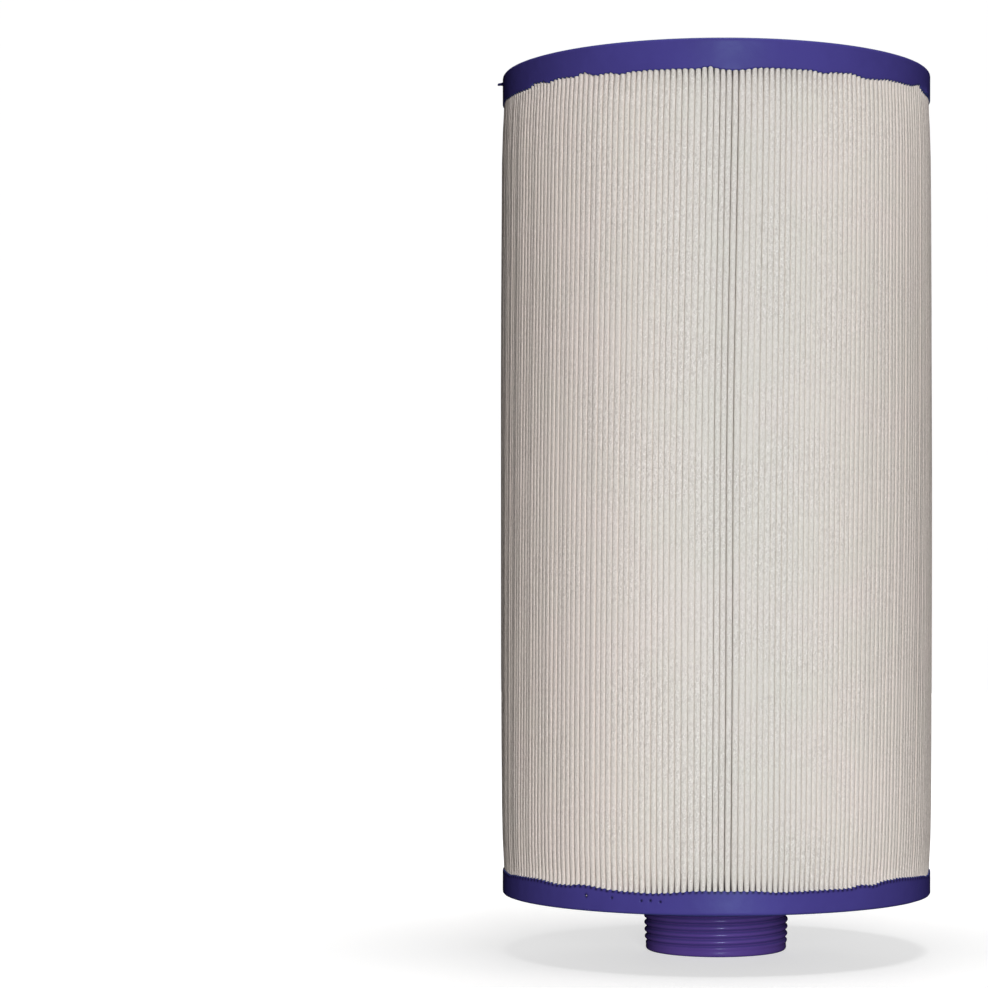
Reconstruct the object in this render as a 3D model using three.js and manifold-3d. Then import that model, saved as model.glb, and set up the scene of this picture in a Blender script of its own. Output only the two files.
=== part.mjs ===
// Pleated filter cartridge for a pool or spa, with a threaded spigot at its lower end.
//
// Millimetres, +Z up. The Z axis is the cartridge's own axis, and z = 0 is the open end of the spigot.
// Water passes inwards through the pleated sheet, through the windows of the core, and out of the spigot.
// Neighbouring pieces that touch on the real cartridge keep a clearance of GAP.

import * as THREE from "three";
import { mergeVertices } from "three/addons/utils/BufferGeometryUtils.js";
import Module from "manifold-3d";

const wasm = await Module();
wasm.setup();

// Driving dimensions
const OUTER_R = 67.5; // end caps, outside
const CAP_TO_CAP = 257.4; // face of one end cap to the face of the other
const SPIGOT_LENGTH = 18; // how far the spigot stands out of the lower cap
const GAP = 0.3; // clearance between pieces that touch

// End caps, cast in urethane
const CAP_PLATE = 3; // thickness over the ends of the pleats
const TOP_BAND = 8.4; // height of the upper cap's rim
const BOTTOM_BAND = 7; // height of the lower cap's rim
const POCKET_R = 66.9; // inside of the rim, around the pleats
const CAP_EDGE_R = 0.8; // rounding of the outer edge
const TOP_BORE_R = 27.2;
const BORE_CHAMFER = 0.5;
const GROOVE_IN_R = 49.8; // ring left in each face by the casting mould
const GROOVE_OUT_R = 54.9;
const GROOVE_DEPTH = 1.8;
const GROOVE_SLOPE = 0.6;
const CAP_SIDES = 64;

// Threaded adapter, moulded, with its flange flush in the lower cap
const SPIGOT_BORE_R = 18.8;
const FLANGE_R = 29.2;
const PLUG_OUT_R = 26.6; // tube that plugs into the core
const PLUG_IN_R = 22.6;
const PLUG_HEIGHT = 15;
const SHOULDER_RISE = 3; // slope from the bore out to the plug's inside
const RIM_ROUND = 1;
const LIP_R = 22.2; // rounded lip at the open end
const LIP_ROUND = 0.8;
const ADAPTER_SIDES = 40;

// Tapered pipe thread on the spigot, 11.5 turns to the inch, right-handed
const THREAD_PITCH = 25.4 / 11.5;
const THREAD_FIRST_Z = 1.5; // just above the rounded lip
const THREAD_LAST_Z = 16.6; // just below the flange
const THREAD_MEAN_R = 22.15; // halfway between root and crest, at THREAD_FIRST_Z
const THREAD_LEAD = 0.73; // lifts the crests to where the photo shows them
const THREAD_DEPTH = 0.8;
const THREAD_TAPER = 1 / 32; // growth of the radius along the axis
const THREAD_ROWS_PER_TURN = 5;

// Core: three moulded lattice tubes that plug into each other
const CORE_SECTIONS = ["core_lower_section", "core_middle_section", "core_upper_section"];
const CORE_IN_R = 27.2;
const CORE_OUT_R = 30.2;
const CORE_JOINT_R = 28.4; // outside of a section's spigot
const CORE_JOINT_LENGTH = 5;
const CORE_SIDES = 24;
const WINDOW_COLUMNS = 12;
const WINDOW_ROWS = 3;
const WINDOW_WIDTH = 6.2;
const WINDOW_RAIL = 5; // height of the ring between two rows of windows

// Pleated sheet: one strip folded around the core, with its two ends joined at the back. Only the outer
// folds stand out, on a plain ring that takes the place of the layers behind them.
const PLEATS = 230;
const SEAM_PITCHES = 2; // pleat pitches that the seam takes up
const TIP_R = 66.5; // outer folds
const FOLD_IN_R = 30.6; // inner folds
const RIDGE_SHARE = 0.78; // share of the pitch that an outer fold fills
const PLEAT_GAP_DEPTH = 2; // depth of the gap between two outer folds
const SEAM_ANGLE = Math.PI / 2; // the seam faces +Y
const RING_SIDES = 64;

// Hot-melt bead between the two ends of the sheet
const BEAD_IN_R = 62;
const BEAD_OUT_R = 66.2;
const BEAD_IN_HALF = 0.82;
const BEAD_OUT_HALF = 0.88;

// Levels worked out from the dimensions above
const BOTTOM_FACE = SPIGOT_LENGTH;
const TOP_FACE = SPIGOT_LENGTH + CAP_TO_CAP;
const INSIDE_BOTTOM = BOTTOM_FACE + CAP_PLATE + GAP;
const INSIDE_TOP = TOP_FACE - CAP_PLATE - GAP;

function material(color, roughness) {
  return new THREE.MeshStandardMaterial({ color, roughness, metalness: 0 });
}

function mesh(name, geometry, look) {
  const made = new THREE.Mesh(geometry, look);
  made.name = name;
  return made;
}

// Turns a closed outline of [radius, z] points, listed anticlockwise, about the Z axis.
function turned(outline, sides) {
  const closed = [...outline, outline[0]];
  const profile = closed.map(([radius, z]) => new THREE.Vector2(radius, z));
  return new THREE.LatheGeometry(profile, sides).rotateX(Math.PI / 2);
}

// Points of a quarter turn about a centre, both ends included, from one angle to another in degrees.
function arc(centreR, centreZ, radius, fromDegrees, toDegrees, steps) {
  return Array.from({ length: steps + 1 }, (_, i) => {
    const angle = THREE.MathUtils.degToRad(fromDegrees + ((toDegrees - fromDegrees) * i) / steps);
    return [centreR + radius * Math.cos(angle), centreZ + radius * Math.sin(angle)];
  });
}

// An outline seen in a mirror laid flat at mirrorZ, listed anticlockwise again.
function mirrored(outline, mirrorZ) {
  return outline.map(([radius, z]) => [radius, 2 * mirrorZ - z]).reverse();
}

// End cap with its face upwards at faceZ: a plate with a ring groove, and a rim around the pleats.
function capOutline(faceZ, band, boreR, chamfer) {
  const plateZ = faceZ - CAP_PLATE;
  const grooveZ = faceZ - GROOVE_DEPTH;
  return [
    [POCKET_R, faceZ - band],
    [OUTER_R, faceZ - band],
    ...arc(OUTER_R - CAP_EDGE_R, faceZ - CAP_EDGE_R, CAP_EDGE_R, 0, 90, 2),
    [GROOVE_OUT_R, faceZ],
    [GROOVE_OUT_R - GROOVE_SLOPE, grooveZ],
    [GROOVE_IN_R + GROOVE_SLOPE, grooveZ],
    [GROOVE_IN_R, faceZ],
    [boreR + chamfer, faceZ],
    [boreR, faceZ - chamfer],
    [boreR, plateZ],
    [POCKET_R, plateZ],
  ];
}

function topEndCap(look) {
  const outline = capOutline(TOP_FACE, TOP_BAND, TOP_BORE_R, BORE_CHAMFER);
  return mesh("top_end_cap", turned(outline, CAP_SIDES), look);
}

function bottomEndCap(look) {
  const boreR = FLANGE_R + GAP;
  const outline = mirrored(capOutline(BOTTOM_FACE, BOTTOM_BAND, boreR, BORE_CHAMFER), BOTTOM_FACE);
  return mesh("bottom_end_cap", turned(outline, CAP_SIDES), look);
}

function threadRows() {
  const span = THREAD_LAST_Z - THREAD_FIRST_Z;
  const count = Math.round((span / THREAD_PITCH) * THREAD_ROWS_PER_TURN);
  return Array.from({ length: count + 1 }, (_, i) => [THREAD_MEAN_R, THREAD_FIRST_Z + (span * i) / count]);
}

// Radius of the thread at a place on the spigot, faded in and out over its first and last turn.
function threadRadius(angle, z) {
  const fromEnd = Math.min(z - THREAD_FIRST_Z, THREAD_LAST_Z - z) / THREAD_PITCH;
  const depth = (THREAD_DEPTH / 2) * Math.min(1, fromEnd);
  const turns = (2 * Math.PI * (z - THREAD_LEAD)) / THREAD_PITCH - angle;
  return THREAD_MEAN_R + (z - THREAD_FIRST_Z) * THREAD_TAPER + depth * Math.cos(turns);
}

// Moves the rows of the thread in and out, so that they wind up the spigot as a helix.
function windThread(geometry) {
  const place = geometry.attributes.position;
  for (let i = 0; i < place.count; i += 1) {
    const [x, y, z] = [place.getX(i), place.getY(i), place.getZ(i)];
    const radius = Math.hypot(x, y);
    const onThread = Math.abs(radius - THREAD_MEAN_R) < THREAD_DEPTH / 4;
    if (onThread && z > THREAD_FIRST_Z && z < THREAD_LAST_Z) {
      const scale = threadRadius(Math.atan2(y, x), z) / radius;
      place.setXY(i, x * scale, y * scale);
    }
  }
  return geometry;
}

// Threaded spigot, flange and plug in one piece, with a bore right through.
function threadedAdapter(look) {
  const flangeTop = BOTTOM_FACE + CAP_PLATE;
  const plugTop = flangeTop + PLUG_HEIGHT;
  const outline = [
    [SPIGOT_BORE_R + BORE_CHAMFER, 0],
    ...arc(LIP_R - LIP_ROUND, LIP_ROUND, LIP_ROUND, -90, 0, 2),
    ...threadRows(),
    [THREAD_MEAN_R, BOTTOM_FACE],
    [FLANGE_R, BOTTOM_FACE],
    [FLANGE_R, flangeTop],
    [PLUG_OUT_R, flangeTop],
    [PLUG_OUT_R, plugTop - RIM_ROUND],
    [PLUG_OUT_R - RIM_ROUND, plugTop],
    [PLUG_IN_R + RIM_ROUND, plugTop],
    [PLUG_IN_R, plugTop - RIM_ROUND],
    [PLUG_IN_R, flangeTop + SHOULDER_RISE],
    [SPIGOT_BORE_R, flangeTop],
    [SPIGOT_BORE_R, BORE_CHAMFER],
  ];
  return mesh("threaded_adapter", windThread(turned(outline, ADAPTER_SIDES)), look);
}

function solidOf(geometry) {
  const bare = geometry.clone();
  bare.deleteAttribute("normal");
  bare.deleteAttribute("uv");
  const merged = mergeVertices(bare);
  return new wasm.Manifold(
    new wasm.Mesh({
      numProp: 3,
      vertProperties: new Float32Array(merged.attributes.position.array),
      triVerts: new Uint32Array(merged.index.array),
    }),
  );
}

function geometryOf(solid) {
  const { vertProperties, triVerts } = solid.getMesh();
  const geometry = new THREE.BufferGeometry();
  geometry.setAttribute("position", new THREE.BufferAttribute(vertProperties, 3));
  geometry.setIndex(new THREE.BufferAttribute(triVerts, 1));
  return geometry;
}

// Core tube from z = low to z = high, with a socket below unless it is first and a spigot above
// unless it is last. The spigot fills the step of the socket over it, GAP apart.
function coreOutline(low, high, first, last) {
  const socketR = CORE_JOINT_R + GAP;
  const below = first
    ? [[CORE_IN_R, low]]
    : [
        [CORE_IN_R, low + CORE_JOINT_LENGTH + GAP],
        [socketR, low + CORE_JOINT_LENGTH + GAP],
        [socketR, low],
      ];
  const above = last
    ? [[CORE_OUT_R, high], [CORE_IN_R, high]]
    : [
        [CORE_OUT_R, high],
        [CORE_JOINT_R, high],
        [CORE_JOINT_R, high + CORE_JOINT_LENGTH],
        [CORE_IN_R, high + CORE_JOINT_LENGTH],
      ];
  return [...below, [CORE_OUT_R, low], ...above];
}

// One block through the core's wall for each window, in rows between low and high.
function windowCutters(low, high) {
  const rowPitch = (high - low) / WINDOW_ROWS;
  const wallR = (CORE_IN_R + CORE_OUT_R) / 2;
  const depth = 3 * (CORE_OUT_R - CORE_IN_R);
  const block = new THREE.BoxGeometry(WINDOW_WIDTH, depth, rowPitch - WINDOW_RAIL);
  const halfSide = Math.PI / CORE_SIDES;
  const cutters = [];
  for (let row = 0; row < WINDOW_ROWS; row += 1) {
    for (let column = 0; column < WINDOW_COLUMNS; column += 1) {
      const angle = halfSide + (2 * Math.PI * column) / WINDOW_COLUMNS;
      const placed = block.clone().translate(0, wallR, low + (row + 0.5) * rowPitch).rotateZ(angle);
      cutters.push(solidOf(placed));
    }
  }
  return cutters;
}

function coreSection(index, look) {
  const first = index === 0;
  const last = index === CORE_SECTIONS.length - 1;
  const pitch = (INSIDE_TOP - INSIDE_BOTTOM + GAP) / CORE_SECTIONS.length;
  const low = INSIDE_BOTTOM + pitch * index;
  const high = low + pitch - GAP;
  const tube = solidOf(turned(coreOutline(low, high, first, last), CORE_SIDES));
  const windowsLow = low + CORE_JOINT_LENGTH;
  const pierced = windowCutters(windowsLow, high).reduce((solid, block) => solid.subtract(block), tube);
  return mesh(CORE_SECTIONS[index], geometryOf(pierced), look);
}

function polar(radius, angle) {
  return new THREE.Vector2(radius * Math.cos(angle), radius * Math.sin(angle));
}

// A point beside the seam, measured clockwise along the circle of its radius.
function besideSeam(across, radius) {
  return polar(radius, SEAM_ANGLE - across / radius);
}

// Outline of the pleated sheet, seen along Z: a ring with the outer folds around it and a slot at the
// seam for the bead.
function pleatShape() {
  const pitch = (2 * Math.PI) / (PLEATS + SEAM_PITCHES);
  const start = SEAM_ANGLE + (SEAM_PITCHES / 2) * pitch;
  const ridge = (RIDGE_SHARE / 2) * pitch;
  const gapR = TIP_R - PLEAT_GAP_DEPTH;
  const freeEnd = pitch / 2 - ridge;
  const outline = [
    besideSeam(BEAD_IN_HALF + GAP, BEAD_IN_R - GAP),
    besideSeam(-BEAD_IN_HALF - GAP, BEAD_IN_R - GAP),
    besideSeam(-BEAD_OUT_HALF - GAP, BEAD_OUT_R),
    polar(BEAD_OUT_R, start - freeEnd),
    polar(gapR, start),
  ];
  for (let i = 0; i < PLEATS; i += 1) {
    const tip = start + (i + 0.5) * pitch;
    outline.push(polar(TIP_R, tip - ridge), polar(TIP_R, tip + ridge), polar(gapR, tip + pitch / 2));
  }
  outline.push(polar(BEAD_OUT_R, start + PLEATS * pitch + freeEnd));
  outline.push(besideSeam(BEAD_OUT_HALF + GAP, BEAD_OUT_R));
  const shape = new THREE.Shape(outline);
  const inside = Array.from({ length: RING_SIDES }, (_, i) => polar(FOLD_IN_R, (2 * Math.PI * i) / RING_SIDES));
  shape.holes.push(new THREE.Path(inside));
  return shape;
}

function extruded(shape, low, high) {
  return new THREE.ExtrudeGeometry(shape, { depth: high - low, bevelEnabled: false }).translate(0, 0, low);
}

function pleatedMedia(look) {
  return mesh("pleated_media", extruded(pleatShape(), INSIDE_BOTTOM, INSIDE_TOP), look);
}

function mediaSeamBead(look) {
  const corners = [
    besideSeam(-BEAD_IN_HALF, BEAD_IN_R),
    besideSeam(BEAD_IN_HALF, BEAD_IN_R),
    besideSeam(BEAD_OUT_HALF, BEAD_OUT_R),
    besideSeam(-BEAD_OUT_HALF, BEAD_OUT_R),
  ];
  const bead = extruded(new THREE.Shape(corners), INSIDE_BOTTOM, INSIDE_TOP);
  return mesh("media_seam_bead", bead, look);
}

const cartridge = new THREE.Group();
cartridge.add(topEndCap(material("#47548c", 0.45)));
cartridge.add(bottomEndCap(material("#47548c", 0.45)));
cartridge.add(threadedAdapter(material("#403466", 0.3)));
cartridge.add(...CORE_SECTIONS.map((_, index) => coreSection(index, material("#2a2320", 0.6))));
cartridge.add(pleatedMedia(material("#d0ccc4", 0.9)));
cartridge.add(mediaSeamBead(material("#d8d2b8", 0.5)));

export default cartridge;
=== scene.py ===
"""Looks of a pleated pool and spa filter cartridge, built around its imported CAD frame.

Everything is in metres in the frame's own axes: +Z up along the cartridge, the spigot's open end at
z = 0, the front towards -Y and the seam of the pleated sheet towards +Y. Profiles, the thread and the
potting's levels are in millimetres, and say so.
"""

import math
import random

import bpy
import numpy as np
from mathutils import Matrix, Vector, noise


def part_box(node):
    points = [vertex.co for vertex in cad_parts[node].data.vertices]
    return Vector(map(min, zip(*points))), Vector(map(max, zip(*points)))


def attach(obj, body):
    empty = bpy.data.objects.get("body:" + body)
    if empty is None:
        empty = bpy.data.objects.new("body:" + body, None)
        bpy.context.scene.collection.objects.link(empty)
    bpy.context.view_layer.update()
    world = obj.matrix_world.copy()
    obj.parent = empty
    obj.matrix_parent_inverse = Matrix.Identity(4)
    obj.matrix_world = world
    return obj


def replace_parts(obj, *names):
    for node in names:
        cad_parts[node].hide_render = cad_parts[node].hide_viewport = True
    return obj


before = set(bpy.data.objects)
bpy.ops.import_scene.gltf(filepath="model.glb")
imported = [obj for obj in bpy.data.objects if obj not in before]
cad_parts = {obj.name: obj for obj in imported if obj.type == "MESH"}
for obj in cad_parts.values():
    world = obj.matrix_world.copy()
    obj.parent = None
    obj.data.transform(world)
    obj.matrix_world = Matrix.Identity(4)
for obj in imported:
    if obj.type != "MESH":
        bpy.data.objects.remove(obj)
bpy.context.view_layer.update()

MM = 0.001
FULL_TURN = 2 * math.pi
SEED = 7

# Places taken from the frame
BOTTOM_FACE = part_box("bottom_end_cap")[0].z
BOTTOM_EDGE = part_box("bottom_end_cap")[1].z
TOP_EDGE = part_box("top_end_cap")[0].z
TOP_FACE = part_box("top_end_cap")[1].z
CAP_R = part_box("top_end_cap")[1].x
MEDIA_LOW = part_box("pleated_media")[0].z
MEDIA_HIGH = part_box("pleated_media")[1].z
FLANGE_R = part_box("threaded_adapter")[1].x
ADAPTER_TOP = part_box("threaded_adapter")[1].z
CORE_SECTIONS = ["core_lower_section", "core_middle_section", "core_upper_section"]
SEAM_ANGLE = math.pi / 2
FRONT_ANGLE = -math.pi / 2

# End caps
CAP_PLATE = 3 * MM
TOP_BORE_R = 27.2 * MM
FLANGE_GAP = 0.05 * MM
GROOVE_IN_R = 49.8 * MM
GROOVE_OUT_R = 55.1 * MM
CORNER_R = 0.8 * MM
LIP_ROWS = 6
WALL_ROWS = 24
CORNER_TURNS = (25, 53, 90)  # degrees round the corner, where its rows lie

# What the caps don't share: the name of their potting levels, which way their face looks, the hole in
# it, how many millimetres deeper the lip lies under a pleat, how far the face sinks around the hole, and
# how much painted shade each row of the lip gets under the pleats
TOP_CAP = {"key": "top", "facing": 1, "bore": TOP_BORE_R, "trench": 0.1, "dish": 0.12 * MM}
TOP_CAP["shadowed_rows"] = (1, 1, 1, 0.6, 0.2)
BOTTOM_CAP = {"key": "bottom", "facing": -1, "bore": FLANGE_R + FLANGE_GAP, "trench": 0.4, "dish": 0.35 * MM}
BOTTOM_CAP["shadowed_rows"] = (1, 1, 1, 1, 1, 1, 1, 0.5)

# Pleated sheet
PLEATS = 230
SEAM_PITCHES = 2
PITCH = FULL_TURN / (PLEATS + SEAM_PITCHES)
SHEET = 0.34 * MM
FOLD_IN_R = 30.9 * MM
EDGE_TIP_R = 66.95 * MM  # outer folds where they leave the caps
MIDDLE_TIP_R = 68.0 * MM  # outer folds at mid height
SEAM_R = 66.3 * MM  # the sheet's free ends
WIDTH_SPREAD = 0.09  # of a pleat's width
REACH_SPREAD = 0.1 * MM

# Half an outer fold from its side to its tip: (share of the half width, millimetres below the tip).
# Neighbours press together along the middle, down to each crease's own depth, and stand apart where
# they enter the caps.
PRESSED_FOLD = [(1, None), (0.88, 0.07), (0.5, 0.01)]
END_FOLD = [(0.74, 0.8), (0.68, 0.34), (0.43, 0.07)]
# How deep in a crease each point of an outer fold lies, from 0 to 1
OUTER_CREASED = [1, 0.45, 0.1, 0, 0.1, 0.45, 1]
# Inner fold between two pleats: (millimetres across, millimetres above its bottom)
INNER_FOLD = [(-0.21, 0.3), (0, 0), (0.21, 0.3)]
# Rows of the sheet, in millimetres from its lower and upper edge, closer together near the caps
ROWS_FROM_EDGE = [0, 3, 4.2, 6, 9, 14, 24, 42, 68, 98]
# How far from the caps neighbours are mostly, and then wholly, pressed together
MOSTLY_PRESSED = 5 * MM
WHOLLY_PRESSED = 70 * MM

# Creases that stand open near the front: (degrees from the front towards +X, half the opening in mm)
OPEN_CREASES = [(-0.3, 0.035), (1.2, 0.03), (2.6, 0.07), (4.6, 0.08)]
OPEN_DEPTH = 0.9  # millimetres

# Slant of the pleats, which are cast in slightly askew. They stand at their own angles at one height and
# have moved round by these lengths, at the rim, when they are SLANT_RISE above or below it. Below it
# they move further towards the sides.
STRAIGHT_AT = 157.5 * MM
SLANT_RISE = 96.7 * MM
SLANT_ABOVE = 1.5 * MM
SLANT_BELOW = 0.5 * MM
SLANT_BELOW_SIDES = 1.7 * MM
SIDE_ANGLE = math.radians(55)

# How unevenly the potting stands: its steps up and down, and how often and how far a pleat peaks out of
# it. Steps and peaks are in millimetres.
TOP_POTTING = {"step": 0.45, "peak_chance": 0.16, "peak": 1.3}
BOTTOM_POTTING = {"step": 0.5, "peak_chance": 0.03, "peak": 0.7}

# How far the pleats stand out past each cap's edge around the front: (degrees towards +X, millimetres).
# The line was measured in the photograph, and thinned to its main steps in round figures.
TOP_LEVELS = [(-74, -0.3), (-57, -0.5), (-56, 0.6), (-50, 0.3), (-49, -0.4), (-45, 0.3), (-38, -0.1)]
TOP_LEVELS += [(-36, 0.8), (-34, 0.8), (-33, -0.7), (-27, -0.2), (-25, -1.2), (-22, -0.5), (-3, -0.6)]
TOP_LEVELS += [(-2, 0), (0, 0), (1, -1), (7, -1.1), (11, -0.3), (27, -0.3), (29, -1), (33, -0.2), (39, 0)]
TOP_LEVELS += [(43, -1), (51, 0), (64, 0.4), (70, 1.9), (72, 0.7), (76, 0)]
BOTTOM_LEVELS = [(-70, -0.3), (-54, -0.9), (-43, 0), (-35, -0.6), (-27, 0.4), (-15, 0.9), (-5, -0.2)]
BOTTOM_LEVELS += [(11, -0.2), (15, 0.3), (38, 0.1), (41, -0.5), (46, -0.1), (49, -1), (58, -1.2), (76, 0)]

# Spigot, in millimetres. The thread is an 11.5 turns per inch taper pipe thread.
SPIGOT_BORE = 18.8
SPIGOT_LIP = 22.2
SPIGOT_COLUMNS = 224
THREAD_PITCH = 25.4 / 11.5
THREAD_LOW = 1.5
THREAD_HIGH = 16.9
THREAD_STEP = THREAD_PITCH / 20
THREAD_LEAD = 0.73  # lifts the crests to where the photograph shows them
THREAD_MEAN_R = 22.15
THREAD_DEPTH = 0.78
THREAD_TAPER = 1 / 32

# Camera, from the photograph's perspective
CAMERA_LENS = 102.2
CAMERA_SENSOR = 36
CAMERA_SHIFT = (-0.1185, 0.098)
CAMERA_PLACE = (0, -0.889, 0.1133)
CAMERA_TURN = 2.14  # degrees


def smoothstep(low, high, value):
    t = np.clip((value - low) / (high - low), 0.0, 1.0)
    return t * t * (3 - 2 * t)


def wobble(x, y=0.0, z=0.0):
    """Smooth noise from -1 to 1."""
    return noise.noise(Vector((x, y, z)))


# ---------------------------------------------------------------- meshes


def make_object(name, points, faces, material, smooth_angle=40):
    """A mesh object that is smooth except across edges sharper than smooth_angle degrees."""
    mesh = bpy.data.meshes.new(name)
    mesh.from_pydata(points, [], faces)
    mesh.polygons.foreach_set("use_smooth", [True] * len(mesh.polygons))
    mesh.set_sharp_from_angle(angle=math.radians(smooth_angle))
    mesh.materials.append(material)
    made = bpy.data.objects.new(name, mesh)
    bpy.context.scene.collection.objects.link(made)
    return made


def add_shares(made, name, shares):
    """Gives each of the mesh's points a number that its material can read."""
    made.data.attributes.new(name, "FLOAT", "POINT").data.foreach_set("value", np.ravel(shares))


def frame_at(angle):
    """Unit vectors outwards and anticlockwise at an angle about the Z axis."""
    outwards = np.array([math.cos(angle), math.sin(angle)])
    return outwards, np.array([-outwards[1], outwards[0]])


def arc(centre_r, centre_z, radius, start, end, steps):
    """Points of an arc, from one angle to another in degrees."""
    turns = [math.radians(start + (end - start) * step / steps) for step in range(steps + 1)]
    return [(centre_r + radius * math.cos(turn), centre_z + radius * math.sin(turn)) for turn in turns]


def even_angles(columns):
    return np.arange(columns) * 2 * math.pi / columns


def grid_faces(rows, columns, wrap_rows, wrap_columns):
    """Quads of a grid whose points are numbered row by row."""
    i = np.arange(rows if wrap_rows else rows - 1)
    j = np.arange(columns if wrap_columns else columns - 1)
    i, j = np.meshgrid(i, j, indexing="ij")
    up, along = (i + 1) % rows, (j + 1) % columns
    corners = [i * columns + j, i * columns + along, up * columns + along, up * columns + j]
    return np.stack([c.ravel() for c in corners], axis=1)


def turned_points(radius, height, angles):
    """Points of rings about the Z axis. radius and height are rows by columns."""
    x = radius * np.cos(angles)
    y = radius * np.sin(angles)
    return np.stack([x, y, height], axis=-1).reshape(-1, 3)


def ring_solid(name, radius, height, angles, material, smooth_angle):
    """Closed solid of revolution whose profile may change from column to column.

    The profile is listed anticlockwise, with the radius to the right and the height up.
    """
    points = turned_points(radius, height, angles)
    faces = grid_faces(*radius.shape, True, True)
    return make_object(name, points.tolist(), faces.tolist(), material, smooth_angle)


# ---------------------------------------------------------------- pleats


def slant(angle, z):
    """How far round a pleat has moved at a height, in radians. The pleats stand straight at the seam."""
    from_front = abs((angle - FRONT_ANGLE + math.pi) % FULL_TURN - math.pi)
    rise = (z - STRAIGHT_AT) / SLANT_RISE
    below = SLANT_BELOW + SLANT_BELOW_SIDES * min(from_front / SIDE_ANGLE, 1.1) ** 2
    moved = (SLANT_ABOVE if rise > 0 else below) * rise
    share = smoothstep(math.radians(170), math.radians(110), from_front)
    return moved / CAP_R * float(share)


def potting_levels(rng, edge, front, step, peak_chance, peak):
    """How far each pleat stands out of the potting, in metres beyond the cap's edge.

    The potting steps up and down at random, except around the front, where it has its levels there.
    """
    levels = []
    while len(levels) < PLEATS:
        if rng.random() < peak_chance:
            levels += [rng.uniform(0.6, 1.0) * peak] * rng.choice((1, 1, 2))
        base = rng.uniform(-step, step)
        levels += [base + rng.uniform(-0.12, 0.12) for _ in range(rng.randint(3, 9))]
    places, heights = zip(*front)
    for k in range(PLEATS):
        angle = SEAM_ANGLE + (k + 1.5) * PITCH
        where = math.degrees(angle + slant(angle, edge) - FRONT_ANGLE) - 360
        if places[0] <= where <= places[-1]:
            levels[k] = np.interp(where, places, heights) + rng.uniform(-0.1, 0.1)
    return [level * MM for level in levels[:PLEATS]]


def lay_out_pleats():
    """The pleats and the creases beside them, which the sheet and both caps share.

    A pleat has its own angle, how far it reaches out and its level in each cap's potting. A crease has
    half its opening and its depth. There is one crease more than there are pleats.
    """
    rng = random.Random(SEED)
    widths = [1 + WIDTH_SPREAD * rng.uniform(-1, 1) for _ in range(PLEATS)]
    scale = PLEATS / sum(widths)
    top = potting_levels(rng, TOP_EDGE, TOP_LEVELS, **TOP_POTTING)
    bottom = potting_levels(rng, BOTTOM_EDGE, BOTTOM_LEVELS, **BOTTOM_POTTING)
    pleats, creases = [], []
    at = SEAM_ANGLE + PITCH
    for k in range(PLEATS + 1):
        opening = 0.012 + 0.03 * rng.random() ** 3
        depth = 0.1 + 0.13 * rng.random() ** 2
        for where, wider in OPEN_CREASES:
            if abs(at - FULL_TURN - FRONT_ANGLE - math.radians(where)) < 0.4 * PITCH:
                opening, depth = wider, OPEN_DEPTH
        creases.append({"opening": opening * MM, "depth": depth * MM})
        if k < PLEATS:
            width = widths[k] * scale * PITCH
            reach = rng.uniform(-1, 1) * REACH_SPREAD
            pleats.append({"angle": at + width / 2, "reach": reach, "top": top[k], "bottom": bottom[k]})
            at += width
    return pleats, creases


PLEAT_LIST, CREASES = lay_out_pleats()


def from_nearer_edge(z):
    """How far a height is above the lower cap's edge or below the upper cap's, whichever is nearer."""
    return min(z - BOTTOM_EDGE, TOP_EDGE - z)


def pleat_at(pleat, k, z):
    """(angle, tip radius) of a pleat's centreline at one height."""
    free = float(smoothstep(-1 * MM, 5 * MM, from_nearer_edge(z)))
    rise = float(smoothstep(0, 16 * MM, from_nearer_edge(z)))
    middle = math.sin(math.pi * (z - MEDIA_LOW) / (MEDIA_HIGH - MEDIA_LOW))
    bulge = (MIDDLE_TIP_R - EDGE_TIP_R) * (0.5 * rise + 0.5 * middle)
    ripple = 0.1 * MM * wobble(pleat["angle"] * 9, z * 18) * free
    tip = EDGE_TIP_R + bulge + ripple + pleat["reach"] * free
    sway = 0.3 * wobble(pleat["angle"] * 4, z * 9, 3.1) + 0.07 * wobble(k * 7.7, z * 30, 9.4)
    angle = pleat["angle"] + slant(pleat["angle"], z)
    return angle + sway * MM / CAP_R * free, tip - SHEET / 2


def outer_fold(angle, tip, creases, angles, pressed):
    """Points over a pleat's outer fold, between the creases on its two sides."""
    outwards, across = frame_at(angle)
    sides = []
    for crease, at in zip(creases, angles):
        half = abs(at - angle) * tip - SHEET / 2 - crease["opening"]
        side = []
        for (share, down), (end_share, end_down) in zip(PRESSED_FOLD, END_FOLD):
            down = crease["depth"] if down is None else down * MM
            along = half * (end_share + (share - end_share) * pressed) * (1 if at > angle else -1)
            below = end_down * MM + (down - end_down * MM) * pressed
            side.append(outwards * (tip - below) + across * along)
        sides.append(side)
    return sides[0] + [outwards * tip] + sides[1][::-1]


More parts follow.
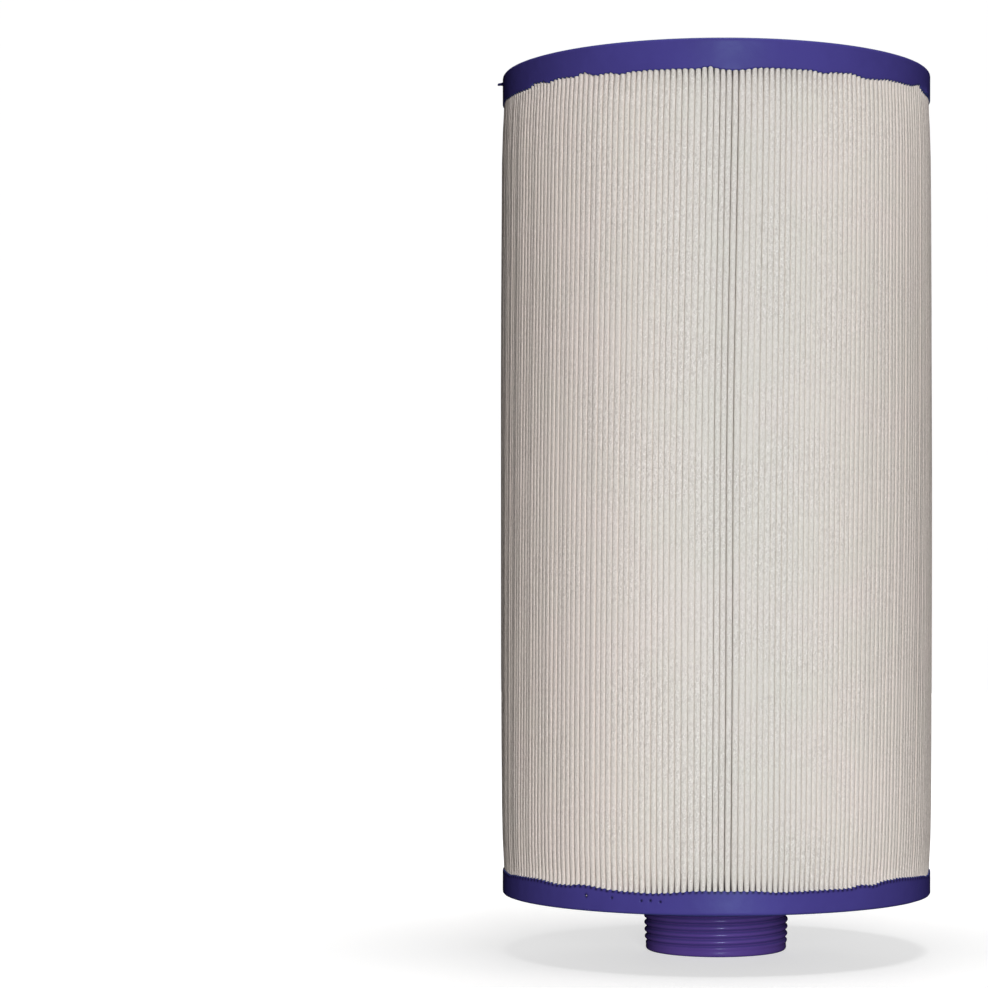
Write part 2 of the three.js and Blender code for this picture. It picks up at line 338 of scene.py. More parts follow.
def sheet_row(z):
    """Points of the sheet's centreline at one height, from one free end to the other."""
    mostly = smoothstep(0, MOSTLY_PRESSED, from_nearer_edge(z))
    wholly = smoothstep(0, WHOLLY_PRESSED, from_nearer_edge(z))
    pressed = float(0.82 * mostly + 0.18 * wholly)
    placed = [pleat_at(pleat, k, z) for k, pleat in enumerate(PLEAT_LIST)]
    first, last = SEAM_ANGLE + PITCH, SEAM_ANGLE + FULL_TURN - PITCH
    folds = [first] + [(a[0] + b[0]) / 2 for a, b in zip(placed, placed[1:])] + [last]
    end_lean = 0.3 * PITCH
    row = [frame_at(first - end_lean)[0] * SEAM_R]
    for k, fold in enumerate(folds):
        outwards, across = frame_at(fold)
        row += [outwards * (FOLD_IN_R + up * MM) + across * side * MM for side, up in INNER_FOLD]
        if k < PLEATS:
            angle, tip = placed[k]
            row += outer_fold(angle, tip, CREASES[k : k + 2], folds[k : k + 2], pressed)
    row.append(frame_at(last + end_lean)[0] * SEAM_R)
    return np.array(row)


def offset_row(row, distance):
    """The row moved to its right, which is outwards on the outer folds."""
    along = np.diff(row, axis=0)
    along /= np.linalg.norm(along, axis=1)[:, None]
    right = np.stack([along[:, 1], -along[:, 0]], axis=1)
    before, after = np.vstack([right[:1], right]), np.vstack([right, right[-1:]])
    mean = before + after
    mean /= np.linalg.norm(mean, axis=1)[:, None]
    miter = 1 / np.clip((mean * after).sum(axis=1), 0.7, 1)
    return row + mean * (distance * miter)[:, None]


def row_length(row):
    return float(np.linalg.norm(np.diff(row, axis=0), axis=1).sum())


def closed_strip_faces(rows, columns):
    """Faces of a strip with a right side, a left side and closed ends and edges.

    The right side's points come first, row by row, and then the left side's.
    """
    right = grid_faces(rows, columns, False, False)
    second = rows * columns
    left = right[:, ::-1] + second
    edges = []
    for start, turn in ((0, 1), ((rows - 1) * columns, -1)):
        j = np.arange(columns - 1) + start
        quad = np.stack([j + second, j + 1 + second, j + 1, j], axis=1)
        edges.append(quad[:, ::turn])
    for column, turn in ((0, 1), (columns - 1, -1)):
        i = np.arange(rows - 1) * columns + column
        quad = np.stack([i + second, i, i + columns, i + columns + second], axis=1)
        edges.append(quad[:, ::turn])
    return np.vstack([right, left, *edges])


def build_pleated_sheet(material):
    """The folded sheet, and its width and length when it is laid flat."""
    low = [MEDIA_LOW + step * MM for step in ROWS_FROM_EDGE]
    high = [MEDIA_HIGH - step * MM for step in reversed(ROWS_FROM_EDGE)]
    heights = low + [(MEDIA_LOW + MEDIA_HIGH) / 2] + high
    rows = [sheet_row(z) for z in heights]
    points = []
    for distance in (SHEET / 2, -SHEET / 2):
        for row, z in zip(rows, heights):
            points.append(np.column_stack([offset_row(row, distance), np.full(len(row), z)]))
    faces = closed_strip_faces(len(heights), len(rows[0]))
    sheet = make_object("pleated_sheet", np.vstack(points).tolist(), faces.tolist(), material, 80)
    # How deep in a crease each point lies, for the fabric's painted crease shade
    inner = [1] * len(INNER_FOLD)
    creased = [1] + (inner + OUTER_CREASED) * PLEATS + inner + [1]
    add_shares(sheet, "creased", np.tile(creased, 2 * len(heights)))
    flat = (MEDIA_HIGH - MEDIA_LOW, row_length(rows[len(rows) // 2]))
    return sheet, flat


# ---------------------------------------------------------------- end caps


def pleats_at(edge):
    """Angles of the pleats where they enter a cap."""
    return [pleat["angle"] + slant(pleat["angle"], edge) for pleat in PLEAT_LIST]


def cap_columns(edge, closer):
    """Angles of a cap's columns and how much of each lies under a pleat, from 0 to 1.

    The columns are closer together around the angles in closer.
    """
    reach = 0.5 * PITCH - 0.33 * MM / CAP_R
    closer_step, least_step = 0.13 * MM / CAP_R, 0.05 * MM / CAP_R
    angles, ridge = [], []
    before = None
    for at in pleats_at(edge):
        if before:
            angles.append((before + at) / 2)
            ridge.append(0.0)
        angles += [at - reach, at, at + reach]
        ridge += [0.55, 1.0, 0.55]
        before = at
    under_seam = [SEAM_ANGLE + PITCH * share for share in (-0.9, -0.3, 0.3, 0.9)]
    angles = np.array(under_seam + angles)
    ridge = np.array([0.0] * len(under_seam) + ridge)
    more = [where + step * closer_step for where in closer for step in range(-5, 6)]
    full = np.sort(np.concatenate([angles, np.mod(np.array(more) - angles[0], FULL_TURN) + angles[0]]))
    full = full[np.concatenate([[True], np.diff(full) > least_step])]
    return full, np.interp(full, angles, ridge, period=FULL_TURN)


def column_levels(angles, edge, key):
    """The potting's level at each column, in metres, from the level of each pleat."""
    at = np.array([SEAM_ANGLE] + pleats_at(edge) + [SEAM_ANGLE + FULL_TURN])
    level = np.array([0.0] + [p[key] for p in PLEAT_LIST] + [0.0])
    return np.interp(angles, at, level)


def cap_profile(band, bore, trench):
    """Rows of a cap, in millimetres, from the potting between the pleats out, round and back in.

    Each row is its radius, its depth under the face, and how much deeper it lies under a pleat.
    """
    plate, rim, corner_r = CAP_PLATE / MM, CAP_R / MM, CORNER_R / MM
    edge = band + 0.25
    lip = [
        (rim - 1.4, edge - 0.3, -0.9),
        (rim - 0.8, edge + 0.05, -0.35 - trench),
        (rim - 0.5, edge + 0.05, -0.3 - 0.7 * trench),
        (rim - 0.3, edge, -0.27),
        (rim - 0.12, edge - 0.14, -0.2),
        (rim, edge - 0.42, -0.1),
    ]
    tall = lip[-1][1] - corner_r
    wall = [(rim, corner_r + tall * (1 - step / WALL_ROWS), 0) for step in range(1, WALL_ROWS + 1)]
    turns = [math.radians(turn) for turn in CORNER_TURNS]
    corner = [(rim - corner_r * (1 - math.cos(turn)), corner_r * (1 - math.sin(turn)), 0) for turn in turns]
    outer_face = [(radius, 0, 0) for radius in (64.5, 62, 59, 56.4)]
    groove = [
        (55.3, 0.03, 0),
        (55.05, 0.22, 0),
        (54.75, 1.2, 0),
        (54.4, 1.72, 0),
        (53.7, 1.84, 0),
        (53.0, 1.72, 0.22),
        (52.4, 1.68, 0.22),
        (51.5, 1.3, 0),
        (50.4, 0.38, 0),
        (50.0, 0.08, 0),
        (49.6, -0.03, 0),
        (48.9, 0, 0),
    ]
    inner_face = [(radius, 0, 0) for radius in (46, 42.5, 39, 36, 33.2, 31)]
    mouth = [(bore + 0.7, 0.03, 0), (bore + 0.25, 0.2, 0), (bore + 0.05, 0.6, 0)]
    inside = [(bore, plate, 0), (30.5, plate, 0), (30.5, band - 1.6, 0), (60, band - 1.6, 0)]
    return lip + wall + corner + outer_face + groove + inner_face + mouth, inside


def unevenness(angle, radius, seed):
    """Slow waves of a hand-poured face, in metres."""
    x, y = radius * math.cos(angle), radius * math.sin(angle)
    slow = wobble(x * 55, y * 55, seed)
    ripple = wobble(x * 190, y * 190, seed + 4)
    return (0.06 * slow + 0.022 * ripple) * MM


def build_cap(name, node, material, marks, key, facing, bore, trench, dish, shadowed_rows):
    """A cast cap, with the lumps and pits in marks on its rim. TOP_CAP says what the rest means."""
    face, edge = (TOP_FACE, TOP_EDGE) if facing > 0 else (BOTTOM_FACE, BOTTOM_EDGE)
    band = abs(face - edge)
    angles, ridge = cap_columns(edge, [angle for angle, _ in marks])
    levels = column_levels(angles, edge, key)
    outer_rows, inner_rows = cap_profile(band / MM, bore / MM, trench)
    rows = outer_rows + inner_rows
    rim_rows = LIP_ROWS + WALL_ROWS + len(CORNER_TURNS)

    radius = np.empty((len(rows), len(angles)))
    depth = np.empty_like(radius)
    for i, (row_radius, row_depth, add_depth) in enumerate(rows):
        to_edge = np.clip((row_depth * MM - CORNER_R) / (band - CORNER_R), 0, 1) if i < rim_rows else 0
        radius[i] = row_radius * MM
        depth[i] = (row_depth + add_depth * ridge) * MM - levels * to_edge
        if rim_rows <= i < len(outer_rows) and row_radius < 48:
            bowl = smoothstep(bore / MM + 0.5, bore / MM + 4, row_radius) * smoothstep(49, 44, row_radius)
            depth[i] += dish * bowl

    # Painted shade: dark on the lip where the pleats enter it, and inside the pits
    shadowed = np.zeros_like(radius)
    for i, share in enumerate(shadowed_rows):
        shadowed[i] = share * ridge**2
    for j, angle in enumerate(angles):
        for i in range(rim_rows):
            wave = wobble(angle * 22, depth[i, j] * 320, 6.0 + facing)
            radius[i, j] -= (0.03 + 0.03 * wave) * MM * (i > 3)
            out = sum(lump(angle, depth[i, j]) for _, lump in marks)
            radius[i, j] += out
            if i > LIP_ROWS + 2:
                shadowed[i, j] = max(shadowed[i, j], min(1, 2.2 * -out / MM))
        for i in range(rim_rows, len(outer_rows)):
            depth[i, j] += unevenness(angle, radius[i, j], 2.0 + facing)

    height = face - facing * depth
    if facing < 0:
        radius, height, shadowed = radius[::-1], height[::-1], shadowed[::-1]
    cap = ring_solid(name, radius, height, angles, material, 50)
    add_shares(cap, "shadowed", shadowed)
    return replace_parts(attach(cap, "root"), node)


def mark(where, at_depth, reach, tall, out):
    """A smooth lump on a cap's rim, or a pit if out is below 0.

    where is its angle in degrees from the front, towards +X, and the rest is in millimetres.
    """
    middle = FRONT_ANGLE + math.radians(where)

    def lump(angle, depth):
        across = (angle - middle + math.pi) % FULL_TURN - math.pi
        share = (across * CAP_R / (reach * MM)) ** 2 + ((depth / MM - at_depth) / tall) ** 2
        return out * MM * math.exp(-share) if share < 9 else 0.0

    return middle, lump


def build_nub(material):
    """Small spike of flash that the casting mould left on the upper rim."""
    # (millimetres from the axis, half thickness in millimetres), out to the tip
    sections = [(66.8, 0.8), (67.45, 0.66), (67.7, 0.5), (68.3, 0.44), (68.8, 0.42)]
    sections += [(69.05, 0.3), (69.15, 0.03)]
    columns = 12
    outwards, across = frame_at(FRONT_ANGLE - math.radians(87.5))
    points = []
    for out, thick in sections:
        sag = 0.25 * (out - sections[0][0]) ** 2 / 6
        for turn in even_angles(columns):
            side = outwards * out + across * thick * 1.3 * math.cos(turn)
            points.append((*(side * MM), TOP_FACE - (1.7 + sag - thick * math.sin(turn)) * MM))
    faces = grid_faces(len(sections), columns, False, True).tolist()
    faces += [list(range(columns))[::-1], list(range(len(points) - columns, len(points)))]
    nub = make_object("casting_nub", points, faces, material, 60)
    # Painted shade: the thin spike is darkened all over
    add_shares(nub, "shadowed", np.full(len(points), 0.75))
    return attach(nub, "root")


# ---------------------------------------------------------------- spigot and seam


def thread_at(angle, z):
    """Radius of the spigot's thread, in millimetres, and how deep in a root the place is, from 0 to 1.

    The crests are round, with narrower roots between them.
    """
    fade = float(smoothstep(0, 0.9, min(z - THREAD_LOW, THREAD_HIGH - z) / THREAD_PITCH))
    turn = FULL_TURN * (z - THREAD_LEAD) / THREAD_PITCH - angle
    wave = math.cos(turn) + 0.16 * math.cos(2 * turn + math.pi)
    radius = THREAD_MEAN_R + max(z - THREAD_LOW, 0) * THREAD_TAPER + THREAD_DEPTH / 2 * wave * fade
    return radius, fade * max(0.0, -wave) / 1.16


def spigot_profile():
    """Rows of the spigot from its bore out and back in: (radius, height), in millimetres.

    The thread's rows have no radius of their own.
    """
    bore, lip, flange = SPIGOT_BORE, SPIGOT_LIP, FLANGE_R / MM
    face, tube_top = BOTTOM_FACE / MM, ADAPTER_TOP / MM
    flange_top = face + CAP_PLATE / MM
    below = [(bore, 14), (bore, 8), (bore, 3), (bore, 1.1)] + arc(bore + 0.5, 0.5, 0.5, 180, 270, 4)
    below += [(20.2, 0)] + arc(lip - 0.9, 0.9, 0.9, -90, 0, 6)
    steps = int((THREAD_HIGH - THREAD_LOW) / THREAD_STEP)
    thread = [(None, THREAD_LOW + (THREAD_HIGH - THREAD_LOW) * step / steps) for step in range(steps + 1)]
    flare = [(0.45, face - 0.6), (0.8, face - 0.12), (1.4, face)]
    above = [(THREAD_MEAN_R + out, z) for out, z in flare]
    above += [(25.5, face), (27.6, face)] + arc(flange - 0.25, face + 0.25, 0.25, -90, 0, 3)
    above += [(flange, flange_top), (26.6, flange_top), (26.6, tube_top - 1)]
    above += arc(25.6, tube_top - 1, 1, 0, 90, 3) + arc(23.6, tube_top - 1, 1, 90, 180, 3)
    above += [(22.6, flange_top + 3), (22.2, flange_top + 2.6), (19.2, flange_top + 0.3)]
    above += [(bore, flange_top - 0.3)]
    return below + thread + above


def build_spigot(material):
    """Threaded spigot with its flange in the lower cap's face and its tube inside the core."""
    angles = even_angles(SPIGOT_COLUMNS)
    profile = spigot_profile()
    radius = np.empty((len(profile), SPIGOT_COLUMNS))
    height = np.empty_like(radius)
    root = np.zeros_like(radius)
    for i, (row_radius, z) in enumerate(profile):
        height[i] = z
        if row_radius is None:
            radius[i], root[i] = np.transpose([thread_at(angle, z) for angle in angles])
        else:
            radius[i] = row_radius
    spigot = ring_solid("threaded_spigot", radius * MM, height * MM, angles, material, 65)
    # Painted shade in the thread's roots, which the material reads
    add_shares(spigot, "shadowed", root)
    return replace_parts(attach(spigot, "root"), "threaded_adapter")


def build_seam_bead(material):
    """Hot-melt bead that closes the sheet, with a wavy, slightly sunken outer face."""
    low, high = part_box("media_seam_bead")[0].z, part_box("media_seam_bead")[1].z
    # (millimetres across, millimetres from the axis)
    section = [(-0.98, 62), (0, 62), (0.98, 62), (1.06, 64.5), (1.08, 65.9), (0.62, 66.22), (0, 66.1)]
    section += [(-0.62, 66.22), (-1.08, 65.9), (-1.06, 64.5)]
    rows, columns = 90, len(section)
    points = []
    for i in range(rows):
        z = low + (high - low) * i / (rows - 1)
        for j, (across, out) in enumerate(section):
            swell = 0.16 * wobble(z * 70, j * 0.9, 2.2) + 0.08 * wobble(z * 260, j * 1.7, 8.1)
            side = 0.05 * wobble(z * 120, 4.4) if abs(across) < 0.7 else 0.0
            points.append(((across + side) * MM, (out + (swell if out > 65 else 0)) * MM, z))
    faces = grid_faces(rows, columns, False, True)[:, ::-1].tolist()
    faces += [list(range(columns)), list(range(rows * columns - 1, (rows - 1) * columns - 1, -1))]
    bead = make_object("seam_bead", points, faces, material, 50)
    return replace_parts(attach(bead, "root"), "media_seam_bead")


# ---------------------------------------------------------------- materials


class Look:
    """A Principled material with helpers that add procedural nodes to it."""

    def __init__(self, name, color, roughness, **values):
        self.material = bpy.data.materials.new(name)
        self.material.use_nodes = True
        self.nodes = self.material.node_tree.nodes
        self.links = self.material.node_tree.links
        self.shader = self.nodes["Principled BSDF"]
        self.shader.inputs["Base Color"].default_value = (*color, 1)
        self.shader.inputs["Roughness"].default_value = roughness
        for socket, value in values.items():
            self.shader.inputs[socket.replace("_", " ")].default_value = value
        self.place = self.nodes.new("ShaderNodeTexCoord").outputs["Object"]

    def node(self, kind, inputs=(), **settings):
        made = self.nodes.new(kind)
        for setting, value in settings.items():
            setattr(made, setting, value)
        for socket, value in dict(inputs).items():
            if isinstance(value, bpy.types.NodeSocket):
                self.links.new(value, made.inputs[socket])
            else:
                made.inputs[socket].default_value = value
        return made

    def along(self, axis):
        """Place in the object along X, Y or Z, in metres."""
        return self.node("ShaderNodeSeparateXYZ", {0: self.place}).outputs[axis]

    def stretched(self, x, y, z):
        """Place in the object, scaled along each axis."""
        inputs = {0: self.place, 1: (x, y, z)}
        return self.node("ShaderNodeVectorMath", inputs, operation="MULTIPLY").outputs[0]

    def from_axis(self):
        """Distance from the cartridge's axis, in metres."""
        flat = self.stretched(1, 1, 0)
        return self.node("ShaderNodeVectorMath", {0: flat}, operation="LENGTH").outputs["Value"]

    def facing_up_or_down(self):
        """How far the surface faces up or down, from 0 to 1."""
        normal = self.node("ShaderNodeNewGeometry").outputs["Normal"]
        up = self.node("ShaderNodeSeparateXYZ", {0: normal}).outputs["Z"]
        return self.math("ABSOLUTE", up)

    def share(self, name):
        """The number that the mesh's points were given under that name."""
        return self.node("ShaderNodeAttribute", attribute_name=name).outputs["Fac"]

    def noise(self, scale, detail, roughness, place=None):
        inputs = {"Vector": place or self.place, "Scale": scale, "Detail": detail, "Roughness": roughness}
        return self.node("ShaderNodeTexNoise", inputs).outputs["Fac"]

    def remap(self, value, low, high, to_low=0.0, to_high=1.0):
        inputs = {"Value": value, "From Min": low, "From Max": high, "To Min": to_low, "To Max": to_high}
        return self.node("ShaderNodeMapRange", inputs).outputs["Result"]

    def math(self, operation, a, b=0.0):
        return self.node("ShaderNodeMath", {0: a, 1: b}, operation=operation).outputs[0]

    def times(self, a, b):
        return self.math("MULTIPLY", a, b)

    def mix(self, share, a, b, blend="MIX"):
        """Colour between a and b. Each is a colour or a socket."""
        a, b = ((*c, 1) if isinstance(c, tuple) else c for c in (a, b))
        mixed = self.node("ShaderNodeMix", data_type="RGBA", blend_type=blend)
        for index, value in ((0, share), (6, a), (7, b)):
            if isinstance(value, bpy.types.NodeSocket):
                self.links.new(value, mixed.inputs[index])
            else:
                mixed.inputs[index].default_value = value
        return mixed.outputs[2]

    def bump(self, height, depth, after=None):
        """Adds relief of that depth in metres over any relief before it."""
        inputs = {"Height": height, "Distance": depth, "Strength": 1.0}
        if after:
            inputs["Normal"] = after
        return self.node("ShaderNodeBump", inputs).outputs["Normal"]

    def use(self, **sockets):
        for socket, value in sockets.items():
            self.links.new(value, self.shader.inputs[socket.replace("_", " ")])


def fabric_look():
    """Spunbonded polyester: an off-white felt of fine fibres pressed flat, with small bond points."""
    look = Look("filter_fabric", (0.80, 0.775, 0.735), 0.86, Sheen_Weight=0.01, Sheen_Roughness=0.5)
    look.shader.inputs["Specular IOR Level"].default_value = 0.25
    fibres = look.noise(2600, 4, 0.65)
    strands = look.noise(2000, 3, 0.6, look.stretched(1.0, 1.0, 0.4))
    flecks = look.remap(look.noise(2300, 3, 0.7, look.stretched(1.0, 1.0, 0.7)), 0.55, 0.64)
    greenish = look.remap(look.noise(70, 3, 0.55), 0.42, 0.62, 0.0, 0.45)
    pinkish = look.remap(look.noise(38, 2, 0.5), 0.45, 0.65, 0.0, 0.35)
    color = look.mix(look.remap(strands, 0.36, 0.6), (0.65, 0.622, 0.585), (0.85, 0.826, 0.79))
    color = look.mix(look.times(flecks, 0.85), color, (1.0, 0.985, 0.965))
    color = look.mix(greenish, color, (0.79, 0.785, 0.73))
    color = look.mix(pinkish, color, (0.85, 0.795, 0.77))

    # Urethane that the fabric has drawn up beside the caps, behind the outer folds, darkened there as
    # painted shade of the deep creases
    middle = (BOTTOM_EDGE + TOP_EDGE) / 2
    from_middle = look.math("ABSOLUTE", look.math("SUBTRACT", look.along("Z"), middle))
    near_cap = look.remap(from_middle, TOP_EDGE - middle - 5 * MM, TOP_EDGE - middle)
    behind = look.remap(look.from_axis(), 66.7 * MM, 65.5 * MM)
    color = look.mix(look.times(look.times(near_cap, behind), 0.9), color, (0.16, 0.14, 0.26))
    # Painted shade: darker and warmer deep in the creases and on the folds' flanks
    color = look.mix(look.times(look.share("creased"), 0.5), color, (0.76, 0.69, 0.625))

    # The photograph's light leaves the fabric warmer towards the sides and a little duller in the middle
    off_centre = look.math("ABSOLUTE", look.math("SUBTRACT", look.along("X"), 8 * MM))
    warm, grey = look.remap(off_centre, 10 * MM, 65 * MM), look.remap(off_centre, 30 * MM, 4 * MM)
    color = look.mix(warm, color, (1.0, 0.935, 0.912), "MULTIPLY")
    color = look.mix(grey, color, (0.93, 0.935, 0.93), "MULTIPLY")
    relief = look.bump(fibres, 0.14 * MM, look.bump(strands, 0.2 * MM))
    look.use(Base_Color=color, Normal=relief, Roughness=look.remap(fibres, 0.3, 0.7, 0.92, 0.76))
    return look.material


def urethane_look():
    """Hand-poured urethane, violet blue and faintly mottled, with painted light on its faces and painted
    shade in its groove and under the pleats.
    """
    look = Look("cast_urethane", (0.065, 0.053, 0.26), 0.38, Specular_IOR_Level=0.12)
    look.shader.inputs["Specular Tint"].default_value = (0.5, 0.75, 1.0, 1)
    out = look.from_axis()
    # Painted shade: the groove keeps the rim's darker violet in place of the faces' lit blue
    inside = look.remap(out, GROOVE_OUT_R, GROOVE_OUT_R - 0.5 * MM)
    groove = look.times(look.remap(out, GROOVE_IN_R, GROOVE_IN_R + 0.7 * MM), inside)
    # Painted light: faces that look up or down get a clearer, lit blue copy of the rim's violet
    face = look.times(look.remap(look.facing_up_or_down(), 0.5, 0.98), 0.85)
    face = look.times(face, look.remap(groove, 0, 1, 1, 0.15))
    clouds = look.noise(42, 4, 0.6)
    streaks = look.noise(60, 5, 0.7, look.stretched(1, 3.5, 1))
    smear = look.remap(look.noise(160, 6, 0.7, look.stretched(1, 0.25, 1)), 0.58, 0.74, 0.0, 0.25)
    rim = look.mix(look.remap(clouds, 0.3, 0.7), (0.060, 0.048, 0.245), (0.070, 0.058, 0.285))
    cast = look.mix(look.remap(streaks, 0.3, 0.7), (0.042, 0.078, 0.27), (0.055, 0.10, 0.32))
    color = look.mix(face, rim, cast)
    color = look.mix(look.times(smear, face), color, (0.085, 0.125, 0.31))
    # Painted shade: near black under the pleats' ends, inside the pits and on the nub
    color = look.mix(look.share("shadowed"), color, (0.010, 0.008, 0.035))
    roughness = look.remap(look.noise(130, 5, 0.65), 0.3, 0.7, 0.30, 0.46)
    relief = look.bump(look.noise(900, 3, 0.6), 0.02 * MM, look.bump(look.noise(210, 4, 0.6), 0.06 * MM))
    look.use(Base_Color=color, Roughness=roughness, Normal=relief)
    return look.material


def spigot_look():
    """Moulded plastic: glossy on the thread, with a darker, speckled flange on the face, painted light on
    faces that look up or down and painted shade in the thread's roots.
    """
    look = Look("spigot_plastic", (0.08, 0.051, 0.29), 0.24, Specular_IOR_Level=0.22)
    look.shader.inputs["Specular Tint"].default_value = (0.6, 0.8, 1.0, 1)
    flat = look.remap(look.facing_up_or_down(), 0.95, 0.99)
    flange = look.times(look.remap(look.from_axis(), 23.6 * MM, 24.2 * MM), flat)
    specks = look.remap(look.noise(1300, 3, 0.7), 0.5, 0.66)
    dark = look.mix(specks, (0.033, 0.055, 0.20), (0.015, 0.015, 0.065))
    clouds = look.remap(look.noise(55, 3, 0.5), 0.3, 0.7)
    shell = look.mix(clouds, (0.088, 0.050, 0.25), (0.104, 0.060, 0.285))
    # Painted light: faces that look up or down get a clearer, lit blue
    face = look.times(look.remap(look.facing_up_or_down(), 0.6, 0.98), 0.8)
    shell = look.mix(face, shell, (0.034, 0.060, 0.22))
    # Painted shade: the thread's roots are darker, and their gloss is turned down
    root = look.share("shadowed")
    shell = look.mix(look.times(root, 0.35), shell, (0.04, 0.022, 0.11))
    look.use(Specular_IOR_Level=look.remap(root, 0.2, 0.7, 0.22, 0.02))
    roughness = look.remap(look.noise(120, 2, 0.4), 0.3, 0.7, 0.19, 0.27)
    relief = look.bump(look.noise(150, 2, 0.4), 0.05 * MM)
    look.use(Base_Color=look.mix(flange, shell, dark), Roughness=roughness, Normal=relief)
    return look.material


def core_look():
    """Dark moulded core plastic with flow lines and dust, and brown painted light near the open end."""
    look = Look("core_plastic", (0.02, 0.016, 0.013), 0.5, Specular_IOR_Level=0.4)
    # Painted light: brown near the open end, where light reaches into the bore, fading to near black deeper
    # down
    painted_light_near_mouth = look.remap(look.along("Z"), 0.20, 0.272)
    flow = look.noise(60, 4, 0.6, look.stretched(1, 1, 0.2))
    tone = look.mix(painted_light_near_mouth, (0.014, 0.012, 0.010), (0.085, 0.050, 0.025))
    color = look.mix(look.remap(flow, 0.35, 0.7, 0.0, 0.6), tone, (0.03, 0.024, 0.02))
    roughness = look.remap(look.noise(220, 4, 0.6), 0.3, 0.7, 0.36, 0.6)
    relief = look.bump(look.noise(500, 3, 0.5), 0.05 * MM)
    look.use(Base_Color=color, Roughness=roughness, Normal=relief)
    return look.material


def glue_look():
    """Cream hot-melt glue."""
    look = Look("seam_adhesive", (0.72, 0.66, 0.50), 0.38, Subsurface_Weight=0.15)
    look.shader.inputs["Subsurface Scale"].default_value = 2 * MM
    ripples = look.noise(500, 3, 0.6, look.stretched(1, 1, 0.4))
    color = look.mix(look.remap(ripples, 0.3, 0.7), (0.66, 0.60, 0.44), (0.78, 0.73, 0.58))
    roughness = look.remap(look.noise(240, 3, 0.6), 0.3, 0.7, 0.28, 0.48)
    look.use(Base_Color=color, Roughness=roughness, Normal=look.bump(ripples, 0.1 * MM))
    return look.material


# ---------------------------------------------------------------- stage


def place_camera():
    """At the photograph's viewpoint: level, square to the cartridge, which stands right of centre."""
    camera = bpy.data.cameras.new("camera")
    camera.lens = CAMERA_LENS
    camera.sensor_width = CAMERA_SENSOR
    camera.shift_x, camera.shift_y = CAMERA_SHIFT
    placed = bpy.data.objects.new("camera", camera)
    placed.location = CAMERA_PLACE
    placed.rotation_euler = (math.radians(90), 0, math.radians(CAMERA_TURN))
    bpy.context.scene.collection.objects.link(placed)
    bpy.context.scene.camera = placed


def softbox(name, place, target, width, height, watts):
    """Rectangular lamp that the camera doesn't see."""
    light = bpy.data.lights.new(name, "AREA")
    light.shape = "RECTANGLE"
    light.size, light.size_y = width, height
    light.energy = watts
    placed = bpy.data.objects.new(name, light)
    placed.location = place
    placed.rotation_mode = "QUATERNION"
    placed.rotation_quaternion = (Vector(place) - Vector(target)).to_track_quat("Z", "Y")
    placed.visible_camera = False
    bpy.context.scene.collection.objects.link(placed)
    return placed


def around(azimuth, distance, height):
    """A place at an angle in degrees from the front, towards +X."""
    turn = FRONT_ANGLE + math.radians(azimuth)
    return (distance * math.cos(turn), distance * math.sin(turn), height)


def light_scene():
    """Softboxes from the front, the top and behind, and small ones for the foot of the cartridge."""
    middle = (0, 0, (BOTTOM_FACE + TOP_FACE) / 2)
    softbox("front", around(8, 2.0, 0.12), middle, 0.3, 0.8, 47)
    softbox("strip", around(3, 1.6, 0.16), middle, 0.05, 0.5, 1.0)
    softbox("low", around(-1, 0.8, 0.03), (0, 0, 0.02), 0.05, 0.05, 0.08)
    side = softbox("side", around(-22, 0.8, 0.05), (0, 0, 0.03), 0.2, 0.1, 0.045)
    side.data.spread = math.radians(50)
    side.visible_glossy = False
    softbox("top", (0.1, -0.1, 1.8), middle, 0.6, 0.6, 14)
    softbox("back", around(178, 2.2, 0.35), middle, 1.0, 0.8, 42).visible_glossy = False
    world = bpy.data.worlds.new("studio")
    world.use_nodes = True
    background = world.node_tree.nodes["Background"]
    background.inputs["Color"].default_value = (1.0, 0.88, 0.77, 1)
    background.inputs["Strength"].default_value = 0.025
    world.cycles_visibility.glossy = False
    bpy.context.scene.world = world


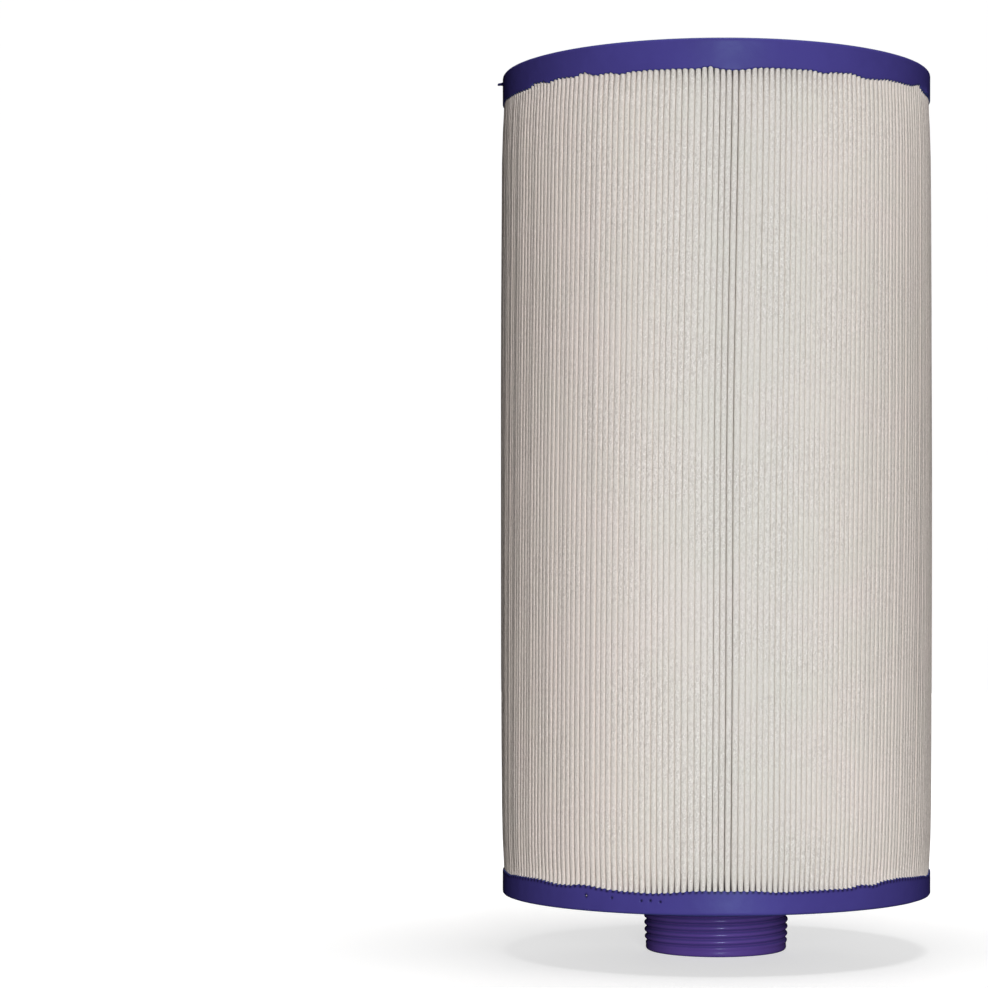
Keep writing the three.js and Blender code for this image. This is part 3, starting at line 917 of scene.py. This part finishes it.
def lay_floor():
    """Pale floor that curves up into a wall all round, far from the cartridge.

    It glows, so that it is evenly white, except around the cartridge, where the glow is weaker as painted
    shade and its cast shadow shows.
    """
    look = Look("stage", (0.5, 0.5, 0.5), 0.9, Emission_Color=(1, 1, 1, 1))
    out = look.from_axis()
    pale = look.mix(look.remap(out, 0.3, 1.2), (0.5, 0.5, 0.5), (0.05, 0.05, 0.05))
    # Painted shade: the glow is weaker towards the cartridge
    look.use(Base_Color=pale, Emission_Strength=look.remap(out, 0.03, 0.4, 0.6, 1.0))
    floor_r, curve_r, wall_top = 2.4, 1.0, 3.0
    flat = [(r, 0) for r in (0.001, 0.1, 0.3, 1.0, floor_r)]
    wall = arc(floor_r, curve_r, curve_r, -90, 0, 12)[1:] + [(floor_r + curve_r, wall_top)]
    angles = even_angles(96)
    profile = np.array(flat + wall)
    radius, height = (np.repeat(profile[:, i : i + 1], len(angles), axis=1) for i in (0, 1))
    points = turned_points(radius, height, angles)
    faces = grid_faces(len(profile), len(angles), False, True)
    floor = make_object("floor", points.tolist(), faces.tolist(), look.material)
    floor.visible_glossy = False
    floor.visible_diffuse = False


# ---------------------------------------------------------------- cartridge


def build_caps(material):
    """Both caps, with a drip on the upper rim and five pits in the lower one."""
    drip = mark(74.3, 8.2, 3.2, 1.1, 0.5)
    # (degrees from the front, millimetres under the face, radius in millimetres)
    pits = [(-35.1, 4.6, 0.5), (-27.2, 4.5, 0.33), (-19.0, 4.05, 0.3), (-16.6, 4.2, 0.33)]
    pits += [(-14.0, 3.95, 0.3)]
    holes = [mark(where, depth, size, size, -0.6) for where, depth, size in pits]
    top = build_cap("top_cap", "top_end_cap", material, [drip], **TOP_CAP)
    bottom = build_cap("bottom_cap", "bottom_end_cap", material, holes, **BOTTOM_CAP)
    return top, bottom


def build_cartridge():
    fabric, urethane, plastic = fabric_look(), urethane_look(), spigot_look()
    core, glue = core_look(), glue_look()

    bead = build_seam_bead(glue)
    sheet, flat = build_pleated_sheet(fabric)
    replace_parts(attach(sheet, "root"), "pleated_media")

    top, bottom = build_caps(urethane)
    build_nub(urethane)
    build_spigot(plastic)

    for name in CORE_SECTIONS:
        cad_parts[name].data.materials.clear()
        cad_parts[name].data.materials.append(core)


place_camera()
light_scene()
lay_floor()
build_cartridge()
bpy.context.scene.view_settings.view_transform = "Standard"
